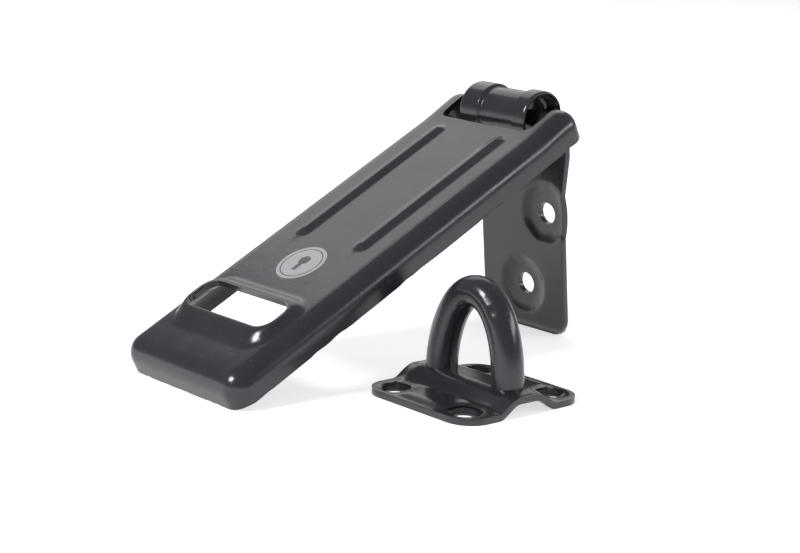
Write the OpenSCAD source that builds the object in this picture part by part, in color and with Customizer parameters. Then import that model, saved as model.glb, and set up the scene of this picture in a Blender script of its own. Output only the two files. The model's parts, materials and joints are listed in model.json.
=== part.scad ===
// Hasp and staple: a pressed steel arm hinged on a screw-down leaf,
// and a round-bar staple riveted into its own screw-down plate.
// Millimetres, +Z up. The arm and the leaf stand as an A-frame on z = 0,
// with the staple lying flat on the same surface beside them.

/* [Arm] */
// Width of the arm over its side flanges
arm_w = 42; // [40:0.5:46]
// Length of the arm from the pin axis to the nose
arm_len = 110; // [104:1:125]
// Depth of the pressing, from the flange edge to the flat top
arm_h = 7.5; // [7:0.5:10]
// Sheet thickness of the arm
arm_t = 1.5; // [1.2:0.1:1.8]
// Outer radius of the shoulders and nose corners
shoulder_r = 4.5; // [3.5:0.5:6]

/* [Ribs] */
// Distance between the centre lines of the two stiffening ribs
rib_spacing = 20.6; // [16:0.2:24]
// Width of a rib where it leaves the flat
rib_w = 5; // [3.6:0.2:6]
// Height of a rib above the flat
rib_h = 0.9; // [0.6:0.1:1.4]
// Flat between the slope of the ears and the hinge end of the ribs
rib_gap = 0.4; // [0.2:0.2:4]
// Nose end of the ribs to the centre of the slot
rib_to_slot = 27; // [16:0.5:40]

/* [Slot] */
// Centre of the slot to the nose
slot_nose = 20.5; // [20:0.5:24]
// Play between the staple and each end of the slot
slot_play = 0.8; // [0.5:0.1:1.2]
// Play between the staple and each long side of the slot
slot_side_play = 1.1; // [0.5:0.1:1.5]
// Corner radius of the slot
slot_r = 3.5; // [2:0.5:4]
// Height of the pressed boss around the slot
boss_h = 2; // [1:0.25:3]
// Flat rim around the slot on top of the boss
boss_rim = 0.6; // [0.3:0.1:1]
// Sloping boss wall beside the slot, seen from above
boss_side = 1.7; // [1.4:0.1:2.4]
// Sloping boss wall on the hinge side
boss_back = 2.8; // [2:0.2:4]
// Sloping boss wall on the nose side
boss_front = 5.2; // [3:0.2:5.4]
// Corner radius of the boss at its foot
boss_r = 6; // [4:0.5:8]

/* [Hinge] */
// Height of the pin axis above the flange edge
pin_h = 4.8; // [4.5:0.1:6]
// Diameter of the pin inside the leaf's roll
pin_d = 9; // [8:0.1:9.4]
// Diameter of the pin's end journals
journal_d = 4; // [3:0.1:4.2]
// Chamfer on the ends of the pin
pin_chamfer = 1.2; // [0.8:0.1:1.4]
// Radial running clearance between pin and roll
pin_clear = 0.06; // [0.03:0.01:0.1]
// Radius of the ears' rounded rear end about the pin
ear_r = 3.8; // [3.6:0.1:4.4]
// Edge radius of the ears
ear_edge_r = 3.4; // [3:0.1:3.5]
// Pin axis to the point where the ears start to rise
ear_blend = 12; // [11.5:0.5:13]
// Gap between the roll and the end of the opening in the arm
open_gap = 2.5; // [1:0.25:3]
// Gap between the roll and each ear
side_gap = 4; // [1:0.1:4.4]
// Corner radius of the opening for the roll
open_r = 2.5; // [1:0.5:4]

/* [Leaf] */
// Width of the leaf
leaf_w = 27.8; // [25:0.2:29]
// Width of the roll, and of the neck that joins it to the leaf
roll_w = 22.4; // [21:0.2:24]
// Pin axis to the shoulders below the neck
neck_len = 6; // [4:0.5:8]
// Corner radius of those shoulders
neck_r = 2; // [1:0.5:2.5]
// Length of the leaf from the pin axis to its foot
leaf_len = 55.5; // [52:0.5:62]
// Sheet thickness of the leaf
leaf_t = 1.5; // [1.2:0.1:1.8]
// Lean of the leaf from upright, foot away from the arm
leaf_lean = 6.8; // [0:0.2:10]
// Pin axis to the bend where the strap turns towards the roll
bend_y = 20; // [18:0.5:22]
// Radius of the two corners at the foot
foot_r = 4.5; // [2:0.5:6]
// Length of the lip at the foot, turned back to meet the door
lip_flat = 0.9; // [0.6:0.1:2]
// Extra radius of the two collars at the ends of the roll
collar_h = 0.7; // [0.3:0.1:0.9]
// Length of the collar on the left, seen from the nose
collar_left = 7; // [5:0.5:8]
// Length of the collar on the right, seen from the nose
collar_right = 4.5; // [4:0.5:7]
// Angle round the roll from the strap to the seam
seam_from = 14; // [8:1:20]
// Angle that the seam leaves open
seam_open = 33; // [20:1:40]

/* [Screw holes] */
// Diameter of the screw holes in the leaf
leaf_hole_d = 5.4; // [4:0.1:5.6]
// Pin axis to the upper screw hole in the leaf
hole_upper_y = 24.6; // [24:0.2:27]
// Offset of the upper hole from the middle of the leaf
hole_upper_x = 8; // [0:0.2:8.4]
// Pin axis to the lower screw hole in the leaf
hole_lower_y = 44; // [41:0.5:45]
// Diameter of a pressed countersink at the face of the leaf
leaf_sink_d = 16; // [13:0.5:16.5]
// How far the countersinks and the foot lip stand out at the back
sink_depth = 0.8; // [0.6:0.1:1.2]
// Diameter of the screw holes in the staple plate
plate_hole_d = 4.4; // [3.6:0.1:4.8]
// Diameter of a countersink at the face of the staple plate
plate_sink_d = 9; // [8:0.5:9.5]
// Depth of the countersinks in the staple plate
plate_sink_depth = 1; // [0.5:0.1:1.1]
// Flat rim between a screw hole and its countersink
sink_rim = 0.5; // [0.3:0.1:0.8]

/* [Staple] */
// Diameter of the staple's round bar
bar_d = 7.2; // [6:0.1:7.6]
// Distance between the centre lines of the two legs
leg_spacing = 20.8; // [19.6:0.2:21.4]
// Height of the top of the bow above the ground
bow_h = 27.2; // [25:0.2:32]
// Size of the plate along the bow
plate_x = 34; // [33:0.5:36]
// Size of the plate across the bow
plate_y = 36; // [34:0.5:36.5]
// Corner radius of the plate
plate_r = 6; // [4:0.5:7]
// Sheet thickness of the plate
plate_t = 1.5; // [1.2:0.1:1.8]
// Height of the ridge that the legs stand on
ridge_h = 3.4; // [3:0.1:4]
// Flat width on top of the ridge
ridge_top = 8.2; // [8:0.1:9]
// Width of each curved side of the ridge
ridge_run = 3.6; // [3:0.2:4.4]
// Screw hole centres, along the bow
plate_hole_x = 22; // [21:0.5:23.5]
// Screw hole centres, across the bow
plate_hole_y = 26; // [25:0.5:26.5]
// Diameter of the tenon that passes through the plate
tenon_d = 5.6; // [4:0.1:5.8]
// Radial clearance of the tenon in the plate
tenon_clear = 0.05; // [0.02:0.01:0.1]
// Diameter of the peened head under the plate
rivet_d = 8; // [7:0.1:8.4]
// Thickness of the peened head
rivet_h = 1.3; // [0.8:0.1:1.6]
// Gap between the arm's side and the staple plate
staple_gap = 0.5; // [0.4:0.1:4]
// Pin axis to the middle of the staple, along the ground
staple_y = 45.5; // [38:0.5:50]

/* [Hidden] */
$fn = 64;
// Divisions of the arm's shoulder arcs, and of its top from the middle out
arc_steps = 5;
top_x = [0, 0.2, 0.4, 0.52, 0.59, 0.66, 0.73, 0.8, 0.87, 0.94, 1];
paint = [0.19, 0.18, 0.2];
// Small overshoot for cutters
eps = 0.5;

// Ribs and slot, measured from the pin axis
slot_y = arm_len - slot_nose;
rib_start = ear_blend + rib_gap;
rib_end = slot_y - rib_to_slot;

// Staple bow and the slot that it passes through
bow_w = leg_spacing + bar_d;
slot_x = bow_w + 2 * slot_play;
slot_w = bar_d + 2 * slot_side_play;
plate_top = ridge_h + plate_t;
arch_z = bow_h - bow_w / 2;

// Roll: the sheet is curled round the pin, wider over the pin's shoulders
roll_in = pin_d / 2 + pin_clear;
roll_out = roll_in + leaf_t;
collar_out = roll_out + collar_h;
collar_in = roll_in + collar_h;
open_half = roll_w / 2 + side_gap;
open_front = collar_out + open_gap;
pin_half = arm_w / 2 - arm_t;

// Leaf plane behind the pin axis: countersinks and lip end level with
// the flange edge of the closed arm
leaf_back = pin_h - sink_depth;

// Rest pose: nose edge and foot both stand on the ground
foot_front = leaf_back - leaf_t;
stand_h = leaf_len * cos(leaf_lean) - foot_front * sin(leaf_lean);
arm_pitch = asin(stand_h / norm([arm_len, pin_h])) - atan(pin_h / arm_len);

// Origin: middle of the whole object's footprint
nose_reach = norm([arm_len - shoulder_r, arm_h - pin_h - shoulder_r]);
nose_angle = atan((arm_h - pin_h - shoulder_r) / (arm_len - shoulder_r));
front_y = max(arm_len * cos(arm_pitch) - pin_h * sin(arm_pitch),
              nose_reach * cos(arm_pitch - nose_angle) + shoulder_r);
rear_y = max(collar_out, pin_h * cos(leaf_lean) + leaf_len * sin(leaf_lean));
side_x = arm_w / 2 + staple_gap + plate_x;
mid_x = (side_x - arm_w / 2) / 2;
mid_y = (rear_y - front_y) / 2;

// Boss: flat rim around the slot, and the foot of its wall
rim_x = slot_x + 2 * boss_rim;
rim_w = slot_w + 2 * boss_rim;
foot_w = rim_w + boss_back + boss_front;
foot_y = slot_y + (boss_front - boss_back) / 2;

function smooth(u) = u * u * (3 - 2 * u);

// Signed distance to a rounded rectangle centred on the origin
function edge_distance(p, x, y, r) =
    let (q = [abs(p[0]) - x / 2 + r, abs(p[1]) - y / 2 + r])
    norm([max(q[0], 0), max(q[1], 0)]) + min(max(q[0], q[1]), 0) - r;

// Height pressed up at a point: two ribs with round ends, and the slot's boss
function rib_rise(x, s) =
    let (r = rib_w / 2,
         along = s - min(max(s, rib_start + r), rib_end - r),
         d = norm([abs(x) - rib_spacing / 2, along]))
    rib_h * smooth(max(0, 1 - d / r));
function boss_rise(x, s) =
    let (rim = edge_distance([x, s - slot_y], rim_x, rim_w, slot_r + boss_rim),
         foot = edge_distance([x, s - foot_y], rim_x + 2 * boss_side, foot_w, boss_r))
    foot >= 0 ? 0 : boss_h * smooth(foot / (foot - max(rim, 0)));

// Top of the ears over the pin, falling to the flat top of the arm
function ear_top(s, inset) = s < 0
    ? pin_h + sqrt(max(0, pow(ear_r - inset, 2) - s * s))
    : arm_h - inset + (pin_h + ear_r - arm_h) * smooth(max(0, 1 - s / ear_blend));
function corner_r(s) = ear_edge_r + (shoulder_r - ear_edge_r) * smooth(min(max(s / ear_blend, 0), 1));

// One cross-section at distance s from the pin axis, as points from the left
// flange edge over the top to the right one. r is the shoulder's radius there
// and full_r the radius where the section is widest.
function section(s, r, full_r, top) =
    let (half = arm_w / 2 - full_r + r,
         right = concat(
             [for (x = top_x) [x * (half - r), top]],
             [for (i = [1 : arc_steps])
                 let (a = 90 - 90 * i / arc_steps)
                 [half - r + r * cos(a), top - r + r * sin(a)]],
             [[half, 0]]),
         lifted = [for (p = right)
             [p[0], -s, p[1] > 0 ? p[1] + rib_rise(p[0], s) + boss_rise(p[0], s) : 0]],
         n = len(right))
    concat([for (i = [n - 1 : -1 : 1]) [-lifted[i][0], lifted[i][1], lifted[i][2]]], lifted);

// Distances from the pin axis at which the arm is sectioned
function steps(a, b, n) = [for (i = [1 : n]) a + (b - a) * i / n];
rim_near = slot_y - rim_w / 2;
rim_far = slot_y + rim_w / 2;
stations = concat(
    steps(ear_edge_r - ear_r, 0, 2), steps(0, ear_blend, 6), [rib_start],
    steps(rib_start, rib_start + rib_w, 4), steps(rib_start + rib_w, rib_end - rib_w, 2),
    steps(rib_end - rib_w, rib_end, 4), [rim_near - boss_back],
    steps(rim_near - boss_back, rim_near, 4), steps(rim_near, rim_far, 6),
    steps(rim_far, rim_far + boss_front, 5));

// All sections of one face of the sheet, from the ears' rear to the nose
function sheet_face(inset) =
    let (rear = [for (i = [0 : arc_steps - 1])
             let (a = 90 - 90 * i / arc_steps,
                  s = ear_edge_r - ear_r - (ear_edge_r - inset) * sin(a))
             section(s, (ear_edge_r - inset) * cos(a), ear_edge_r, ear_top(s, inset))],
         middle = [for (s = concat([ear_edge_r - ear_r], stations))
             section(s, corner_r(s) - inset, corner_r(s), ear_top(s, inset))],
         nose = [for (i = [0 : arc_steps])
             let (a = 90 * i / arc_steps, r = (shoulder_r - inset) * cos(a))
             section(arm_len - shoulder_r + (shoulder_r - inset) * sin(a), r, shoulder_r,
                     arm_h - shoulder_r + r)])
    concat(rear, middle, nose);

// The pressed arm lying flat, pin axis over y = 0, nose towards -y:
// outer and inner faces joined along the flange edge
module pressed_sheet() {
    outer = sheet_face(0);
    inner = sheet_face(arm_t);
    n = len(outer);
    m = len(outer[0]);
    points = concat([for (row = outer) for (p = row) p], [for (row = inner) for (p = row) p]);
    out = function (i, j) i * m + j;
    in = function (i, j) n * m + i * m + j;
    faces = concat(
        [for (i = [0 : n - 2], j = [0 : m - 2]) each [
            [out(i, j), out(i + 1, j), out(i, j + 1)], [out(i + 1, j), out(i + 1, j + 1), out(i, j + 1)],
            [in(i, j), in(i, j + 1), in(i + 1, j)], [in(i + 1, j), in(i, j + 1), in(i + 1, j + 1)]]],
        [for (i = [0 : n - 2]) each [
            [out(i, 0), in(i, 0), in(i + 1, 0), out(i + 1, 0)],
            [out(i, m - 1), out(i + 1, m - 1), in(i + 1, m - 1), in(i, m - 1)]]],
        [[for (j = [0 : m - 1]) out(0, j)], [for (j = [m - 1 : -1 : 0]) in(0, j)],
         [for (j = [m - 1 : -1 : 0]) out(n - 1, j)], [for (j = [0 : m - 1]) in(n - 1, j)],
         [out(0, 0), out(0, m - 1), in(0, m - 1), in(0, 0)],
         [out(n - 1, 0), in(n - 1, 0), in(n - 1, m - 1), out(n - 1, m - 1)]]);
    polyhedron(points, faces, convexity = 6);
}

module rounded_rect(x, y, r) {
    square([x - 2 * r, y], center = true);
    square([x, y - 2 * r], center = true);
    for (i = [-1, 1], j = [-1, 1])
        translate([i * (x / 2 - r), j * (y / 2 - r)]) circle(r);
}

module arm_flat() {
    difference() {
        pressed_sheet();
        translate([0, ear_r, -eps]) linear_extrude(pin_h + ear_r + 2 * eps)
            rounded_rect(2 * open_half, 2 * (open_front + ear_r), open_r);
        translate([0, -slot_y, -eps]) linear_extrude(arm_h + boss_h + 2 * eps)
            rounded_rect(slot_x, slot_w, slot_r);
    }
}

// Puts a piece drawn about the pin axis on the stand, tipped by an angle
module at_pin(angle) {
    translate([-mid_x, -mid_y, stand_h]) rotate([angle, 0, 0]) children();
}

module hasp_arm() {
    color(paint) at_pin(arm_pitch) translate([0, 0, -pin_h]) arm_flat();
}

// Pin: a thick middle inside the roll and a journal at each end
module hinge_pin() {
    left = -roll_w / 2 + collar_left;
    right = roll_w / 2 - collar_right;
    straight = pin_half - pin_chamfer;
    color(paint) at_pin(arm_pitch) rotate([0, 90, 0]) {
        translate([0, 0, left]) cylinder(h = right - left, d = pin_d);
        translate([0, 0, -straight]) cylinder(h = 2 * straight, d = journal_d);
        for (side = [0, 180]) rotate([side, 0, 0]) translate([0, 0, straight])
            cylinder(h = pin_chamfer, d1 = journal_d, d2 = journal_d - 2 * pin_chamfer);
    }
}

// Tangent from the bend in the strap to the back of the roll
bend_d = norm([bend_y, leaf_back]);
strap_tilt = asin(roll_out / bend_d) - atan(leaf_back / bend_y);

// Strap seen from its edge: flat, bend, slanted part, tangent to the roll
module strap_side() {
    n = [-sin(strap_tilt), -cos(strap_tilt)];
    mitre = leaf_t * tan(strap_tilt / 2);
    polygon([
        [-leaf_len, -leaf_back], [-bend_y, -leaf_back], n * roll_out,
        n * roll_in, [-bend_y + mitre, leaf_t - leaf_back], [-leaf_len, leaf_t - leaf_back]
    ]);
}

// Foot lip: the last millimetres are turned back to meet the door
module lip_side() {
    polygon([
        [-leaf_len, -leaf_back - sink_depth], [-leaf_len + lip_flat, -leaf_back - sink_depth],
        [-leaf_len + lip_flat + leaf_t, -leaf_back], [-leaf_len, -leaf_back]
    ]);
}

// Outline of the leaf seen from the front: neck, shoulders and rounded foot
module leaf_outline() {
    body = leaf_len - neck_len;
    translate([-roll_w / 2, -leaf_len / 2]) square([roll_w, leaf_len]);
    intersection() {
        translate([0, -neck_len - body / 2]) rounded_rect(leaf_w, body, neck_r);
        translate([0, body - leaf_len]) rounded_rect(leaf_w, 2 * body, foot_r);
    }
}

// Half section of the roll: collars at both ends, smaller in the middle
module roll_half(r_mid, r_end) {
    step = r_end - r_mid;
    half = roll_w / 2;
    polygon([
        [0, -half], [r_end, -half], [r_end, -half + collar_left - step],
        [r_mid, -half + collar_left], [r_mid, half - collar_right],
        [r_end, half - collar_right + step], [r_end, half], [0, half]
    ]);
}

module roll() {
    difference() {
        rotate([0, 90, 0]) rotate_extrude()
            difference() {
                roll_half(roll_out, collar_out);
                translate([-1, 0]) square([2, 2 * leaf_w], center = true);
                roll_half(roll_in, collar_in);
            }
        // Seam between the curled end and the strap
        rotate([0, 90, 0]) translate([0, 0, -leaf_w]) linear_extrude(2 * leaf_w)
            polygon([[0, 0], for (a = [0, seam_open]) 2 * collar_out
                * [cos(strap_tilt + seam_from + a), -sin(strap_tilt + seam_from + a)]]);
    }
}

// Screw hole in a sheet that lies on z = 0: the hole, and a pressed dish
// that narrows to a small rim around it
module screw_hole(hole_d, dish_d, depth, t) {
    translate([0, 0, t - depth]) cylinder(h = depth, d1 = hole_d + 2 * sink_rim, d2 = dish_d);
    translate([0, 0, t]) cylinder(h = ridge_h, d = dish_d);
    translate([0, 0, -depth - eps]) cylinder(h = depth + t, d = hole_d);
}

// Back of a dish, where it stands out of the sheet
module dish_back(hole_d, dish_d, depth, t) {
    translate([0, 0, -depth]) cylinder(h = depth, d1 = hole_d + 2 * sink_rim + 2 * t, d2 = dish_d);
}

leaf_holes = [[hole_upper_x, -hole_upper_y], [0, -hole_lower_y]];

module hinge_leaf() {
    color(paint) at_pin(90 + leaf_lean) {
        difference() {
            intersection() {
                union() {
                    rotate([90, 0, 90]) translate([0, 0, -leaf_w])
                        linear_extrude(2 * leaf_w) { strap_side(); lip_side(); }
                    for (p = leaf_holes) translate([p[0], p[1], -leaf_back])
                        dish_back(leaf_hole_d, leaf_sink_d, sink_depth, leaf_t);
                }
                translate([0, 0, -leaf_len]) linear_extrude(2 * leaf_len) leaf_outline();
            }
            for (p = leaf_holes) translate([p[0], p[1], -leaf_back])
                screw_hole(leaf_hole_d, leaf_sink_d, sink_depth, leaf_t);
        }
        roll();
    }
}

// Ridge across the plate, by its lower or upper face
ridge_steps = 8;
function ridge_side(z, s) = [for (i = [0 : ridge_steps])
    let (u = i / ridge_steps)
    [s * (ridge_top / 2 + ridge_run * (1 - u)), z + ridge_h * smooth(u)]];

module plate_side() {
    lower = concat([[-plate_y / 2, 0]], ridge_side(0, -1));
    upper = concat([[-plate_y / 2, plate_t]], ridge_side(plate_t, -1));
    n = len(lower);
    mirrored = function (pts) [for (i = [n - 1 : -1 : 0]) [-pts[i][0], pts[i][1]]];
    low = concat(lower, mirrored(lower));
    up = concat(upper, mirrored(upper));
    polygon(concat(low, [for (i = [len(up) - 1 : -1 : 0]) up[i]]));
}

plate_holes = [for (i = [-1, 1], j = [-1, 1]) [i * plate_hole_x / 2, j * plate_hole_y / 2]];

// Staple plate centred on the origin, bow along x
module plate_at_origin() {
    difference() {
        intersection() {
            rotate([90, 0, 90]) translate([0, 0, -plate_x / 2])
                linear_extrude(plate_x) plate_side();
            linear_extrude(plate_top + eps) rounded_rect(plate_x, plate_y, plate_r);
        }
        for (p = plate_holes) translate([p[0], p[1], 0])
            screw_hole(plate_hole_d, plate_sink_d, plate_sink_depth, plate_t);
        for (s = [-1, 1]) translate([s * leg_spacing / 2, 0, 0])
            cylinder(h = plate_top + eps, d = tenon_d + 2 * tenon_clear);
    }
}

module at_staple() {
    translate([arm_w / 2 + staple_gap + plate_x / 2 - mid_x, -staple_y - mid_y, 0]) children();
}

module staple_plate() {
    color(paint) at_staple() plate_at_origin();
}

module staple_bow() {
    color(paint) at_staple() {
        translate([0, 0, arch_z]) rotate([90, 0, 0])
            rotate_extrude(angle = 180) translate([leg_spacing / 2, 0]) circle(d = bar_d);
        for (s = [-1, 1]) translate([s * leg_spacing / 2, 0, 0]) {
            translate([0, 0, plate_top]) cylinder(h = arch_z - plate_top, d = bar_d);
            translate([0, 0, ridge_h - rivet_h / 2]) cylinder(h = plate_t + rivet_h, d = tenon_d);
            translate([0, 0, ridge_h - rivet_h]) cylinder(h = rivet_h, d = rivet_d);
        }
    }
}

hasp_arm();
hinge_pin();
hinge_leaf();
staple_plate();
staple_bow();
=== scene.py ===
import json
from math import atan2, cos, degrees, hypot, radians, sin

import bmesh
import bpy
from mathutils import Euler, Matrix, Vector


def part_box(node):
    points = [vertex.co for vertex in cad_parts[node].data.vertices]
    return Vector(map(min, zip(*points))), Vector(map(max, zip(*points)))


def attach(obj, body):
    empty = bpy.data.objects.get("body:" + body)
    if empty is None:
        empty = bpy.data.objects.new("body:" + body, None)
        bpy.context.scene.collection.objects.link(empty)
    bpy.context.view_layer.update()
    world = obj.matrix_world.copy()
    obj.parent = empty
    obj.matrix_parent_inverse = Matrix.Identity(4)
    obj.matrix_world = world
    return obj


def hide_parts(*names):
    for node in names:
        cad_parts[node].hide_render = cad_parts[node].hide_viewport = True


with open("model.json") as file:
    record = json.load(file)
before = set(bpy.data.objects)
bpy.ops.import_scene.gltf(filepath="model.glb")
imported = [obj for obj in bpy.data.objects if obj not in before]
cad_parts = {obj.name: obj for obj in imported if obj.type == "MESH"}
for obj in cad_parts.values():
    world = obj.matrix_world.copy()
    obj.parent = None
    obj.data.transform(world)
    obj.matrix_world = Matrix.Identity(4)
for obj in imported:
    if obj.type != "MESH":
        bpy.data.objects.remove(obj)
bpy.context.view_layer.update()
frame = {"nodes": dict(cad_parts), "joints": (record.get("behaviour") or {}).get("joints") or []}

# Pieces are drawn in millimetres and brought to metres when they are put in place
MM = 0.001

# Camera, fitted to the photograph and placed from the middle of the hinge
CAMERA_YAW = 48.13
CAMERA_PITCH = 12.56
CAMERA_ROLL = 2.33
CAMERA_LENS = 84.28
CAMERA_FROM_HINGE = (0.32117, -0.32174)
CAMERA_HEIGHT = 0.11423

# Pressed arm, lying flat with the pin's axis at the origin and its nose towards -Y
SHEET = 1.5
ARM_W = 42
ARM_LEN = 110
ARM_TOP = 2.7
FLANGE_EDGE = -4.8
ARM_REAR = 3.4
SHOULDER_R = 4.5
EAR_RISE = 0.6
EAR_BLEND = 12
RIB_X = 10.3
RIB_W = 5
RIB_H = 0.9
RIB_START = 12.4
RIB_END = 62.5
SLOT_Y = 89.5
SLOT_SIZE = (29.6, 9.4)
SLOT_R = 3.5
BOSS_H = 2
BOSS_RIM = 0.6
BOSS_SIDE = 1.7
BOSS_BACK = 3.8
BOSS_FRONT = 5.2
BOSS_R = 6
OPENING_HALF = 15.2
OPENING_FRONT = 9.26
OPENING_R = 2.5
EDGE_WANDER = 0.22
MARK_Y = 70.4
MARK_R = 6.1

MARK_RING = 5.1
MARK_RING_W = 0.3
KEYHOLE_EYE_Y = 1
KEYHOLE_EYE_R = 1.5
KEYHOLE_HALF = 0.65
KEYHOLE_FOOT_Y = -2.8

# Leaf and its roll, drawn as a strap along -Y that curls round the pin's axis
LEAF_LEAN = 6.8
LEAF_LEN = 55.5
LEAF_W = 27.8
LEAF_BACK = 4.0
BEND_Y = 20
BACK_BEND_Y = 10
NECK_LEN = 6
NECK_R = 2
FOOT_R = 4.5
ROLL_W = 22.4
ROLL_R = 6.06
ROLL_TURN = 307
COLLAR_H = 0.7
COLLAR_EDGE = 0.9
COLLAR_LEFT_END = -4.2
COLLAR_RIGHT_END = 6.7
LEFT_STEP = 0.9
RIGHT_STEP = 0.3
LEAF_HOLES = ((8, 24.6), (0, 44))
LEAF_HOLE_R = 2.7
LIP_DEPTH = 0.8
DISH_R = 8
DISH_DEPTH = 1.1
DISH_RIM = 0.6

# Staple, with its plate on z = 0 and its bow along X
PLATE_SIZE = (34, 36)
PLATE_R = 6
RIDGE_HALF = 2.9
RIDGE_RUN = 6
RIDGE_H = 3.4
PLATE_HOLES = (22, 26)
PLATE_HOLE_R = 2.2
PLATE_SINK_R = 4
PLATE_SINK_DEPTH = 1
PLATE_SWELL = 0.6
PLATE_SWELL_RUN = 4
PLATE_DISH_REACH = 4.4
BAR_R = 3.6
LEG_X = 10.4
BOW_H = 27.2
TENON_R = 2.8
RIVET_R = 4
RIVET_H = 1.3
FOOT_SINK = 0.5
BOW_STEPS = 56
TOOL_MARKS = ((5.5, -2.2, 23.2), (7.4, -2.4, 21.4))

# Finish and light
PAINT_IOR = 1.62
PAINT_DARK = (0.019, 0.0175, 0.021, 1)
PAINT_LIGHT = (0.026, 0.0235, 0.029, 1)
PAINT_SHINE = (0.97, 0.94, 1, 1)
MARK_SILVER = (0.36, 0.36, 0.37, 1)
FLOOR_LIFT = 0.65
TENT_LEVEL = 0.35
BACKDROP_TOP = 0.02

# Frame: the pin's axis, the arm's pitch and the staple's place
hinge = frame["joints"][0]
PIN = Vector(hinge["pos_m"])
ARM_PITCH = 90 + LEAF_LEAN - hinge["range_deg"][1]
plate_low, plate_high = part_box("staple_plate")
STAPLE = Vector(((plate_low[0] + plate_high[0]) / 2, (plate_low[1] + plate_high[1]) / 2, 0))


def tipped(angle):
    """Place of a piece drawn about the pin's axis and tipped by an angle."""
    return Matrix.Translation(PIN) @ Matrix.Rotation(radians(angle), 4, "X") @ Matrix.Scale(MM, 4)


def smooth(part):
    part = min(max(part, 0), 1)
    return part * part * (3 - 2 * part)


def steps(start, end, size):
    count = max(1, round((end - start) / size))
    return [start + (end - start) * i / count for i in range(count + 1)]


def block(name, low, high):
    """Adds a box between two corners."""
    bpy.ops.object.select_all(action="DESELECT")
    middle = [(a + b) / 2 for a, b in zip(low, high)]
    bpy.ops.mesh.primitive_cube_add(size=1, location=middle)
    piece = bpy.context.active_object
    piece.name = name
    piece.scale = [b - a for a, b in zip(low, high)]
    bpy.ops.object.transform_apply(location=True, rotation=True, scale=True)
    return piece


def sheet_blank(name, size, middle):
    """Adds a flat rectangle of sheet."""
    bpy.ops.object.select_all(action="DESELECT")
    bpy.ops.mesh.primitive_plane_add(size=1, location=middle)
    piece = bpy.context.active_object
    piece.name = name
    piece.scale = (size[0], size[1], 1)
    bpy.ops.object.transform_apply(location=True, rotation=True, scale=True)
    return piece


def pick(piece, kind, test):
    """Selects, in edit mode, only the corners, edges or faces that pass a test."""
    bpy.context.view_layer.objects.active = piece
    bpy.ops.object.mode_set(mode="EDIT")
    bpy.ops.mesh.select_mode(type=kind)
    bpy.ops.mesh.select_all(action="DESELECT")
    mesh = bmesh.from_edit_mesh(piece.data)
    parts = {"VERT": mesh.verts, "EDGE": mesh.edges, "FACE": mesh.faces}[kind]
    for part in parts:
        if test(part):
            part.select_set(True)
    mesh.select_flush_mode()
    bmesh.update_edit_mesh(piece.data)


def cut_lines(axis, places):
    """Cuts the mesh in edit mode by planes across an axis."""
    across = Vector((0, 0, 0))
    across[axis] = 1
    for place in places:
        bpy.ops.mesh.select_all(action="SELECT")
        bpy.ops.mesh.bisect(plane_co=across * place, plane_no=across)
    bpy.ops.mesh.select_all(action="SELECT")
    bpy.ops.mesh.remove_doubles(threshold=0.03)


def press(height, reach, falloff="SMOOTH"):
    """Presses the selected corners up, with a slope round them."""
    bpy.ops.transform.translate(
        value=(0, 0, height), use_proportional_edit=True,
        proportional_edit_falloff=falloff, proportional_size=reach)


def finish_with(piece, kind, **settings):
    """Adds one modifier with its settings and applies it."""
    bpy.context.view_layer.objects.active = piece
    bpy.ops.object.mode_set(mode="OBJECT")
    modifier = piece.modifiers.new(kind.lower(), kind)
    for name, value in settings.items():
        setattr(modifier, name, value)
    bpy.ops.object.modifier_apply(modifier=modifier.name)


def punch(piece, cutter):
    """Cuts a hole with a cutter and throws the cutter away."""
    bpy.context.view_layer.objects.active = cutter
    bpy.ops.object.mode_set(mode="OBJECT")
    finish_with(piece, "BOOLEAN", operation="DIFFERENCE", solver="MANIFOLD", object=cutter)
    bpy.data.objects.remove(cutter, do_unlink=True)


def ease_edges(piece, width):
    """Rounds the sharp cut edges a little, as paint and tumbling leave them."""
    finish_with(piece, "BEVEL", width=width, segments=2, limit_method="ANGLE", angle_limit=radians(50))


def put(piece, where, body, node, paint):
    """Puts a finished piece in its place in the frame, with its finish."""
    bpy.context.view_layer.objects.active = piece
    bpy.ops.object.mode_set(mode="OBJECT")
    bpy.ops.object.select_all(action="DESELECT")
    piece.select_set(True)
    piece.matrix_world = where
    bpy.ops.object.transform_apply(location=True, rotation=True, scale=True)
    bpy.ops.object.shade_smooth_by_angle(angle=radians(35))
    piece.data.materials.clear()
    piece.data.materials.append(paint)
    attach(piece, body)
    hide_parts(node)


def slot_cutter(name, low, high, radius):
    """Upright punch with rounded corners."""
    cutter = block(name, low, high)
    pick(cutter, "EDGE", lambda edge: abs(edge.verts[0].co.z - edge.verts[1].co.z) > 1)
    bpy.ops.mesh.bevel(offset=radius, segments=8, affect="EDGES")
    return cutter


def edge_distance(x, y, width, depth, radius):
    """Distance from a point to the outline of a rounded rectangle about the origin."""
    over_x = abs(x) - width / 2 + radius
    over_y = abs(y) - depth / 2 + radius
    return hypot(max(over_x, 0), max(over_y, 0)) + min(max(over_x, over_y), 0) - radius


def boss_rise(x, s):
    """Height of the pressed boss round the slot."""
    rim_x = SLOT_SIZE[0] + 2 * BOSS_RIM
    rim_w = SLOT_SIZE[1] + 2 * BOSS_RIM
    foot_y = SLOT_Y + (BOSS_FRONT - BOSS_BACK) / 2
    rim = edge_distance(x, s - SLOT_Y, rim_x, rim_w, SLOT_R + BOSS_RIM)
    foot = edge_distance(x, s - foot_y, rim_x + 2 * BOSS_SIDE, rim_w + BOSS_BACK + BOSS_FRONT, BOSS_R)
    if foot >= 0:
        return 0
    return BOSS_H * smooth(foot / (foot - max(rim, 0)))


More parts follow.
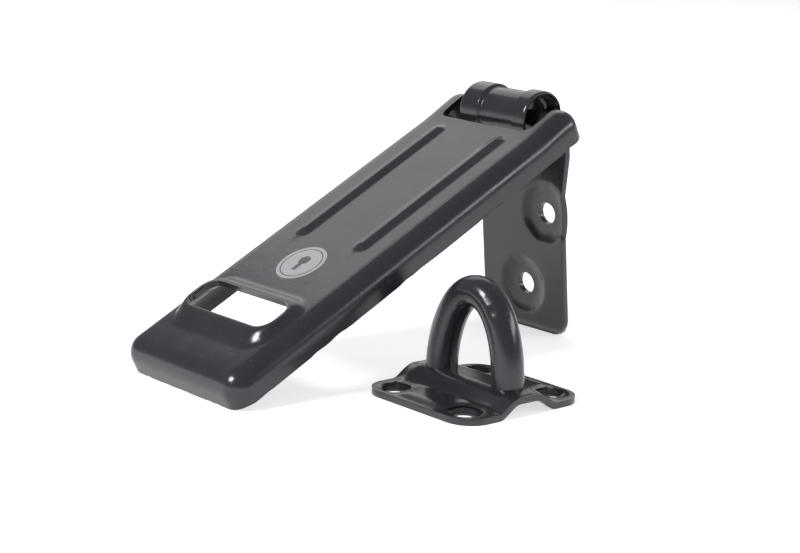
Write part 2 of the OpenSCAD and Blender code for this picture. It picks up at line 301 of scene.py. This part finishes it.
def drawn_edge(x, s):
    """How far the drawn flange edge wanders up from a straight line."""
    wave = sin(x * 0.61 + 1.2) * sin(s * 0.23 + x * 0.07) + 0.6 * sin(x * 1.7 + s * 0.9)
    return EDGE_WANDER * max(0, wave)


def make_arm(paint):
    """Presses the arm: shoulders, ears, ribs and the boss round the slot."""
    arm = block("pressed_arm", (-ARM_W / 2, -ARM_LEN, FLANGE_EDGE), (ARM_W / 2, ARM_REAR, ARM_TOP))
    pick(arm, "FACE", lambda face: face.normal.z < -0.5)
    bpy.ops.mesh.delete(type="FACE")
    pick(arm, "EDGE", lambda edge: max(end.co.z for end in edge.verts) > 0)
    bpy.ops.mesh.bevel(offset=SHOULDER_R, segments=8, affect="EDGES")

    rows = steps(-0.7, RIB_START, 0.7) + steps(RIB_START, RIB_START + RIB_W, 0.4)
    rows += steps(RIB_START + RIB_W + 3, RIB_END - RIB_W - 3, 4) + steps(RIB_END - RIB_W, RIB_END, 0.4)
    rows += [66, 70, 74, 77] + steps(79, 102, 0.4)
    cut_lines(1, [-s for s in rows])
    columns = [1.5, 3, 4.5, 6, 7.4] + steps(RIB_X - RIB_W / 2, 17.2, 0.4)
    cut_lines(0, [side * x for x in columns for side in (-1, 1)])
    cut_lines(2, [FLANGE_EDGE + 0.6, FLANGE_EDGE + 1.8])

    pick(arm, "VERT", lambda corner: corner.co.z < FLANGE_EDGE + 2)
    bpy.ops.mesh.hide()
    pick(arm, "VERT", lambda corner: corner.co.y > -0.1)
    press(EAR_RISE, EAR_BLEND)
    for side in (-1, 1):
        line = (-RIB_END + RIB_W / 2, -RIB_START - RIB_W / 2)
        pick(arm, "VERT", lambda corner: abs(corner.co.x - side * RIB_X) < 0.25 and corner.co.z > 0
             and line[0] - 0.2 < corner.co.y < line[1] + 0.2)
        press(RIB_H, RIB_W / 2)
    bpy.ops.mesh.reveal(select=False)
    mesh = bmesh.from_edit_mesh(arm.data)
    for corner in mesh.verts:
        if corner.co.z > 0:
            corner.co.z += boss_rise(corner.co.x, -corner.co.y)
        if corner.co.z < FLANGE_EDGE + 0.1:
            corner.co.z += drawn_edge(corner.co.x, -corner.co.y)
    bmesh.update_edit_mesh(arm.data)

    finish_with(arm, "SOLIDIFY", thickness=SHEET, offset=-1, use_even_offset=True)
    punch(arm, slot_cutter("opening_punch", (-OPENING_HALF, -OPENING_FRONT, -10),
                           (OPENING_HALF, 10, 10), OPENING_R))
    punch(arm, slot_cutter("slot_punch", (-SLOT_SIZE[0] / 2, -SLOT_Y - SLOT_SIZE[1] / 2, -10),
                           (SLOT_SIZE[0] / 2, -SLOT_Y + SLOT_SIZE[1] / 2, 10), SLOT_R))
    ease_edges(arm, 0.15)
    put(arm, tipped(ARM_PITCH), "arm", "hasp_arm", paint)


def collar_swell(x):
    """How far the roll swells into a collar, from 0 in the middle to 1 at its ends."""
    left = smooth((COLLAR_LEFT_END - x) / LEFT_STEP)
    right = smooth((x - COLLAR_RIGHT_END) / RIGHT_STEP)
    return max(left, right)


def end_rounding(x):
    """How far the roll draws in at its turned ends."""
    past = max(0, abs(x) - ROLL_W / 2 + COLLAR_EDGE)
    return COLLAR_EDGE - (max(0, COLLAR_EDGE ** 2 - past ** 2)) ** 0.5


def make_leaf(paint):
    """Rolls the leaf's strap round the pin, with dishes, lip and holes."""
    leaf = sheet_blank("rolled_leaf", (LEAF_W, LEAF_LEN - BEND_Y),
                       (0, -(LEAF_LEN + BEND_Y) / 2, -LEAF_BACK))
    pick(leaf, "VERT", lambda corner: corner.co.y < -LEAF_LEN + 0.1)
    bpy.ops.mesh.bevel(offset=FOOT_R, segments=8, affect="VERTICES")

    for start, end, back in ((BEND_Y, BACK_BEND_Y, ROLL_R - LEAF_BACK), (BACK_BEND_Y, NECK_LEN, 0)):
        pick(leaf, "EDGE", lambda edge: min(corner.co.y for corner in edge.verts) > -start - 0.1)
        bpy.ops.mesh.extrude_edges_move(TRANSFORM_OT_translate={"value": (0, start - end, -back)})
    pick(leaf, "VERT", lambda corner: corner.co.y > -NECK_LEN - 0.1)
    bpy.ops.mesh.bevel(offset=NECK_R, segments=6, affect="VERTICES")
    cut_lines(0, (-ROLL_W / 2, ROLL_W / 2))
    pick(leaf, "EDGE", lambda edge: all(
        end.co.y > -NECK_LEN - 0.01 and abs(end.co.x) < ROLL_W / 2 + 0.01 for end in edge.verts))
    bpy.ops.mesh.extrude_edges_move(TRANSFORM_OT_translate={"value": (0, NECK_LEN, 0)})
    bpy.ops.mesh.spin(steps=72, angle=radians(-ROLL_TURN), center=(0, 0, 0), axis=(1, 0, 0))
    bpy.ops.mesh.select_all(action="SELECT")
    bpy.ops.mesh.remove_doubles(threshold=0.001)

    cut_lines(1, [-s for s in steps(BACK_BEND_Y + 0.4, LEAF_LEN - 0.4, 0.4)])
    columns = steps(-13.4, 13.4, 0.4) + steps(COLLAR_LEFT_END - LEFT_STEP, COLLAR_LEFT_END, 0.15)
    columns += steps(COLLAR_RIGHT_END, COLLAR_RIGHT_END + RIGHT_STEP, 0.1)
    columns += [side * x for x in steps(ROLL_W / 2 - COLLAR_EDGE, ROLL_W / 2 - 0.05, 0.17) for side in (-1, 1)]
    cut_lines(0, columns)
    pick(leaf, "VERT", lambda corner: corner.co.y < -LEAF_LEN + 1)
    press(-LIP_DEPTH, 1.8)
    for x, s in LEAF_HOLES:
        pick(leaf, "VERT", lambda corner: hypot(corner.co.x - x, corner.co.y + s) < LEAF_HOLE_R + DISH_RIM)
        press(-DISH_DEPTH, DISH_R - LEAF_HOLE_R - DISH_RIM, "INVERSE_SQUARE")
    mesh = bmesh.from_edit_mesh(leaf.data)
    for corner in mesh.verts:
        x, y, z = corner.co
        if hypot(y, z) > ROLL_R + 0.1:
            continue
        turned = (degrees(atan2(z, y)) + 90.01) % 360
        lift = COLLAR_H * collar_swell(x) - 0.6 * end_rounding(x)
        swell = 1 + lift / ROLL_R * smooth(turned / 30)
        corner.co = (x, y * swell, z * swell)
    bmesh.update_edit_mesh(leaf.data)
    bpy.ops.mesh.select_all(action="SELECT")
    bpy.ops.mesh.normals_make_consistent(inside=False)
    mesh = bmesh.from_edit_mesh(leaf.data)
    foot = min(mesh.faces, key=lambda face: face.calc_center_median().y)
    if foot.normal.z > 0:
        bpy.ops.mesh.flip_normals()

    finish_with(leaf, "SOLIDIFY", thickness=SHEET, offset=-1, use_even_offset=True)
    for x, s in LEAF_HOLES:
        bpy.ops.mesh.primitive_cylinder_add(vertices=48, radius=LEAF_HOLE_R, depth=4,
                                            location=(x, -s, -LEAF_BACK))
        punch(leaf, bpy.context.active_object)
    ease_edges(leaf, 0.2)
    put(leaf, tipped(90 + LEAF_LEAN), "fixed_parts", "hinge_leaf", paint)


def make_plate(paint):
    """Presses the staple's plate, with its ridge and four countersunk holes."""
    plate = sheet_blank("staple_base", PLATE_SIZE, (0, 0, 0))
    pick(plate, "VERT", lambda corner: True)
    bpy.ops.mesh.bevel(offset=PLATE_R, segments=10, affect="VERTICES")
    cut_lines(1, steps(-PLATE_SIZE[1] / 2 + 0.6, PLATE_SIZE[1] / 2 - 0.6, 0.6))
    cut_lines(0, steps(-PLATE_SIZE[0] / 2 + 0.6, PLATE_SIZE[0] / 2 - 0.6, 0.6))
    pick(plate, "VERT", lambda corner: edge_distance(
        corner.co.x, corner.co.y, *PLATE_SIZE, PLATE_R) < -PLATE_SWELL_RUN)
    press(PLATE_SWELL, PLATE_SWELL_RUN)
    for x in (-PLATE_HOLES[0] / 2, PLATE_HOLES[0] / 2):
        for y in (-PLATE_HOLES[1] / 2, PLATE_HOLES[1] / 2):
            pick(plate, "VERT", lambda corner: hypot(corner.co.x - x, corner.co.y - y) < PLATE_HOLE_R)
            press(-PLATE_SWELL, PLATE_DISH_REACH)
    pick(plate, "VERT", lambda corner: abs(corner.co.y) < RIDGE_HALF + 0.01)
    press(RIDGE_H - PLATE_SWELL, RIDGE_RUN)
    mesh = bmesh.from_edit_mesh(plate.data)
    for corner in mesh.verts:
        corner.co.z = min(max(corner.co.z, 0), RIDGE_H)
    bmesh.update_edit_mesh(plate.data)
    finish_with(plate, "SOLIDIFY", thickness=SHEET, offset=1, use_even_offset=True)
    for x in (-PLATE_HOLES[0] / 2, PLATE_HOLES[0] / 2):
        for y in (-PLATE_HOLES[1] / 2, PLATE_HOLES[1] / 2):
            bpy.ops.mesh.primitive_cylinder_add(vertices=40, radius=PLATE_HOLE_R, depth=6,
                                                location=(x, y, 0))
            punch(plate, bpy.context.active_object)
            bpy.ops.mesh.primitive_cone_add(
                vertices=40, radius1=PLATE_HOLE_R, radius2=PLATE_SINK_R + 0.3,
                depth=PLATE_SINK_DEPTH + 0.2, location=(x, y, SHEET - PLATE_SINK_DEPTH / 2 + 0.1))
            punch(plate, bpy.context.active_object)
    ease_edges(plate, 0.25)
    put(plate, Matrix.Translation(STAPLE) @ Matrix.Scale(MM, 4), "fixed_parts", "staple_plate", paint)


def make_bow(paint):
    """Bends the staple's bar, with a tenon and a peened head at each foot."""
    seat = RIDGE_H + SHEET - FOOT_SINK
    rise = BOW_H - BAR_R - seat
    bpy.ops.object.select_all(action="DESELECT")
    bpy.ops.curve.primitive_nurbs_path_add(location=(0, 0, 0))
    bow = bpy.context.active_object
    bow.name = "staple_bar"
    path = bow.data.splines.new("POLY")
    bow.data.splines.remove(bow.data.splines[0])
    path.points.add(BOW_STEPS)
    for i, point in enumerate(path.points):
        turn = radians(180 * i / BOW_STEPS)
        point.co = (LEG_X * cos(turn), 0, seat + rise * sin(turn), 1)
    bow.data.bevel_depth = BAR_R
    bow.data.bevel_resolution = 10
    bow.data.use_fill_caps = True
    bpy.ops.object.convert(target="MESH")
    foot = [(0, TENON_R / BAR_R), (RIDGE_H - seat, 1), (0, RIVET_R / TENON_R),
            (-RIVET_H + 0.4, 1), (-0.4, 0.8), (0, 0.3)]
    for side in (-1, 1):
        height = seat
        pick(bow, "FACE", lambda face: len(face.verts) > 4 and face.calc_center_median().x * side > 0)
        for drop, shrink in foot:
            height += drop
            bpy.ops.mesh.extrude_region_move(TRANSFORM_OT_translate={"value": (0, 0, drop)})
            bpy.ops.transform.resize(value=(shrink, shrink, 1), center_override=(side * LEG_X, 0, height))
    for x, y, z in TOOL_MARKS:
        mark = Vector((x, y, z))
        pick(bow, "VERT", lambda corner: (corner.co - mark).length < 0.9)
        bpy.ops.transform.translate(
            value=(0, 0.25, -0.2), use_proportional_edit=True,
            proportional_edit_falloff="SMOOTH", proportional_size=1.4)
    bpy.ops.mesh.select_all(action="SELECT")
    bpy.ops.mesh.remove_doubles(threshold=0.001)
    bpy.ops.mesh.normals_make_consistent(inside=False)
    put(bow, Matrix.Translation(STAPLE) @ Matrix.Scale(MM, 4), "fixed_parts", "staple_bow", paint)


def put_camera():
    data = bpy.data.cameras.new("camera")
    data.lens = CAMERA_LENS
    data.sensor_width = 36
    data.clip_start = 0.01
    camera = bpy.data.objects.new("camera", data)
    bpy.context.scene.collection.objects.link(camera)
    aim = Euler((radians(90 - CAMERA_PITCH), 0, radians(CAMERA_YAW))).to_matrix()
    roll = Matrix.Rotation(radians(CAMERA_ROLL), 3, "Z")
    place = Vector((PIN.x + CAMERA_FROM_HINGE[0], PIN.y + CAMERA_FROM_HINGE[1], CAMERA_HEIGHT))
    camera.matrix_world = Matrix.Translation(place) @ (aim @ roll).to_4x4()
    bpy.context.scene.camera = camera


def new_material(name):
    material = bpy.data.materials.new(name)
    material.use_nodes = True
    return material, material.node_tree.nodes, material.node_tree.links


def sum_of(nodes, links, first, second):
    """Adds two values and keeps the sum between 0 and 1."""
    total = nodes.new("ShaderNodeMath")
    total.operation = "ADD"
    total.use_clamp = True
    links.new(first, total.inputs[0])
    links.new(second, total.inputs[1])
    return total.outputs[0]


def compare(nodes, links, kind, value, limit):
    """Works out one value against a fixed limit."""
    step = nodes.new("ShaderNodeMath")
    step.operation = kind
    step.inputs[1].default_value = limit
    links.new(value, step.inputs[0])
    return step.outputs[0]


def both(nodes, links, first, second):
    """1 where two masks are both 1."""
    step = nodes.new("ShaderNodeMath")
    step.operation = "MULTIPLY"
    links.new(first, step.inputs[0])
    links.new(second, step.inputs[1])
    return step.outputs[0]


def band(nodes, links, value, low, high):
    """1 where a value lies between two limits."""
    above = compare(nodes, links, "GREATER_THAN", value, low)
    below = compare(nodes, links, "LESS_THAN", value, high)
    return both(nodes, links, above, below)


def noise(nodes, links, where, scale, detail):
    """Cloudy pattern of a given fineness."""
    cloud = nodes.new("ShaderNodeTexNoise")
    cloud.inputs["Scale"].default_value = scale
    cloud.inputs["Detail"].default_value = detail
    links.new(where, cloud.inputs["Vector"])
    return cloud.outputs["Fac"]


def ramp(nodes, links, value, stops):
    """Turns a value into a colour by a few stops."""
    scale = nodes.new("ShaderNodeValToRGB")
    for i, (place, colour) in enumerate(stops):
        stop = scale.color_ramp.elements[i] if i < 2 else scale.color_ramp.elements.new(place)
        stop.position = place
        stop.color = colour
    links.new(value, scale.inputs["Fac"])
    return scale.outputs["Color"]


def grey(level):
    return (level, level, level, 1)


def gloss_black_paint(name):
    """Gloss black enamel: a faint orange peel, uneven gloss and a few specks of dust."""
    material, nodes, links = new_material(name)
    shader = nodes["Principled BSDF"]
    shader.inputs["IOR"].default_value = PAINT_IOR
    shader.inputs["Specular Tint"].default_value = PAINT_SHINE
    where = nodes.new("ShaderNodeTexCoord").outputs["Object"]
    cloud = noise(nodes, links, where, 60, 4)
    colour = ramp(nodes, links, cloud, ((0.3, PAINT_DARK), (0.7, PAINT_LIGHT)))
    gloss = ramp(nodes, links, noise(nodes, links, where, 110, 5), ((0.3, grey(0.17)), (0.75, grey(0.27))))
    dust = ramp(nodes, links, noise(nodes, links, where, 2600, 1), ((0.76, grey(0)), (0.8, grey(1))))
    dusty = nodes.new("ShaderNodeMix")
    dusty.data_type = "RGBA"
    dusty.inputs[7].default_value = (0.12, 0.115, 0.125, 1)
    links.new(dust, dusty.inputs["Factor"])
    links.new(colour, dusty.inputs[6])
    peel = nodes.new("ShaderNodeBump")
    peel.inputs["Strength"].default_value = 0.06
    peel.inputs["Distance"].default_value = 0.0004
    links.new(noise(nodes, links, where, 700, 2), peel.inputs["Height"])
    links.new(dusty.outputs[2], shader.inputs["Base Color"])
    links.new(gloss, shader.inputs["Roughness"])
    links.new(peel.outputs["Normal"], shader.inputs["Normal"])
    return material


def print_mark(material):
    """Prints a plain silver disc with a ring and a keyhole on top of the arm."""
    nodes, links = material.node_tree.nodes, material.node_tree.links
    shader = nodes["Principled BSDF"]
    frame_of_mark = nodes.new("ShaderNodeMapping")
    frame_of_mark.vector_type = "TEXTURE"
    frame_of_mark.inputs["Location"].default_value = tipped(ARM_PITCH) @ Vector((0, -MARK_Y, ARM_TOP))
    frame_of_mark.inputs["Rotation"].default_value = (radians(ARM_PITCH), 0, 0)
    frame_of_mark.inputs["Scale"].default_value = (MM, MM, MM)
    links.new(nodes.new("ShaderNodeTexCoord").outputs["Object"], frame_of_mark.inputs["Vector"])
    apart = nodes.new("ShaderNodeSeparateXYZ")
    links.new(frame_of_mark.outputs["Vector"], apart.inputs["Vector"])
    x, y, z = apart.outputs
    flat = nodes.new("ShaderNodeCombineXYZ")
    links.new(x, flat.inputs[0])
    links.new(y, flat.inputs[1])
    away = nodes.new("ShaderNodeVectorMath")
    away.operation = "LENGTH"
    links.new(flat.outputs["Vector"], away.inputs[0])
    away = away.outputs["Value"]
    eye = nodes.new("ShaderNodeVectorMath")
    eye.operation = "DISTANCE"
    eye.inputs[1].default_value = (0, KEYHOLE_EYE_Y, 0)
    links.new(flat.outputs["Vector"], eye.inputs[0])
    round_eye = compare(nodes, links, "LESS_THAN", eye.outputs["Value"], KEYHOLE_EYE_R)
    narrow = band(nodes, links, x, -KEYHOLE_HALF, KEYHOLE_HALF)
    stem = both(nodes, links, narrow, band(nodes, links, y, KEYHOLE_FOOT_Y, KEYHOLE_EYE_Y))
    ring = band(nodes, links, away, MARK_RING - MARK_RING_W / 2, MARK_RING + MARK_RING_W / 2)
    bare = sum_of(nodes, links, sum_of(nodes, links, round_eye, stem), ring)
    disc = both(nodes, links, compare(nodes, links, "LESS_THAN", away, MARK_R),
                compare(nodes, links, "GREATER_THAN", z, -SHEET / 2))
    left = nodes.new("ShaderNodeMath")
    left.operation = "SUBTRACT"
    left.inputs[0].default_value = 1
    links.new(bare, left.inputs[1])
    printed = both(nodes, links, disc, left.outputs[0])
    colour = nodes.new("ShaderNodeMix")
    colour.data_type = "RGBA"
    colour.inputs[7].default_value = MARK_SILVER
    links.new(printed, colour.inputs["Factor"])
    links.new(shader.inputs["Base Color"].links[0].from_socket, colour.inputs[6])
    links.new(colour.outputs[2], shader.inputs["Base Color"])


def seen_directly(nodes, links):
    """1 where the camera, a shiny surface or glass sees this, 0 where it only lights others."""
    path = nodes.new("ShaderNodeLightPath").outputs
    shown = sum_of(nodes, links, path["Is Camera Ray"], path["Is Glossy Ray"])
    return sum_of(nodes, links, shown, path["Is Transmission Ray"])


def white_floor():
    """White floor that keeps the shadow, lifted to white where the camera sees it."""
    material, nodes, links = new_material("white_floor")
    shader = nodes["Principled BSDF"]
    shader.inputs["Base Color"].default_value = grey(0.8)
    shader.inputs["Roughness"].default_value = 1
    shader.inputs["Specular IOR Level"].default_value = 0
    shader.inputs["Emission Color"].default_value = grey(1)
    lift = nodes.new("ShaderNodeMath")
    lift.operation = "MULTIPLY"
    lift.inputs[1].default_value = FLOOR_LIFT
    links.new(seen_directly(nodes, links), lift.inputs[0])
    links.new(lift.outputs[0], shader.inputs["Emission Strength"])
    bpy.ops.object.select_all(action="DESELECT")
    bpy.ops.mesh.primitive_plane_add(size=8, location=(0, 0, 0))
    floor = bpy.context.active_object
    floor.name = "floor"
    floor.data.materials.append(material)


def softbox(name, place, target, width, height, power):
    data = bpy.data.lights.new(name, "AREA")
    data.shape = "RECTANGLE"
    data.size = width
    data.size_y = height
    data.energy = power
    lamp = bpy.data.objects.new(name, data)
    bpy.context.scene.collection.objects.link(lamp)
    way = Vector(target) - Vector(place)
    lamp.matrix_world = Matrix.Translation(place) @ way.to_track_quat("-Z", "Y").to_matrix().to_4x4()


def light_tent():
    """Dim tent with a white backdrop low all round, and three softboxes in it."""
    world = bpy.data.worlds.new("light_tent")
    bpy.context.scene.world = world
    world.use_nodes = True
    nodes, links = world.node_tree.nodes, world.node_tree.links
    tent = nodes["Background"]
    tent.inputs["Color"].default_value = (0.94, 0.94, 1, 1)
    tent.inputs["Strength"].default_value = TENT_LEVEL
    backdrop = nodes.new("ShaderNodeBackground")
    backdrop.inputs["Strength"].default_value = 1
    way = nodes.new("ShaderNodeSeparateXYZ")
    links.new(nodes.new("ShaderNodeTexCoord").outputs["Generated"], way.inputs["Vector"])
    low = ramp(nodes, links, way.outputs["Z"], ((BACKDROP_TOP, grey(1)), (BACKDROP_TOP + 0.08, grey(0))))
    path = nodes.new("ShaderNodeLightPath").outputs
    mirrored = both(nodes, links, low, sum_of(nodes, links, path["Is Glossy Ray"], path["Is Transmission Ray"]))
    mix = nodes.new("ShaderNodeMixShader")
    links.new(sum_of(nodes, links, path["Is Camera Ray"], mirrored), mix.inputs["Fac"])
    links.new(tent.outputs["Background"], mix.inputs[1])
    links.new(backdrop.outputs["Background"], mix.inputs[2])
    links.new(mix.outputs["Shader"], nodes["World Output"].inputs["Surface"])
    softbox("left_softbox", (-0.68, 0.49, 0.64), (0, 0, 0.03), 0.8, 0.72, 1.9)
    softbox("back_strip", (0.7, 0.72, 0.42), (0, 0, 0.03), 0.9, 0.2, 2.6)
    softbox("front_softbox", (-0.1, -0.75, 0.62), (0, 0, 0.03), 0.28, 0.28, 6)


for piece in frame["nodes"].values():
    piece.select_set(False)
put_camera()
light_tent()
white_floor()
paint = gloss_black_paint("gloss_black_paint")
arm_paint = gloss_black_paint("gloss_black_paint_with_mark")
print_mark(arm_paint)
for node in frame["nodes"].values():
    node.data.materials.clear()
    node.data.materials.append(paint)
make_arm(arm_paint)
make_leaf(paint)
make_plate(paint)
make_bow(paint)
bpy.context.scene.view_settings.view_transform = "Standard"
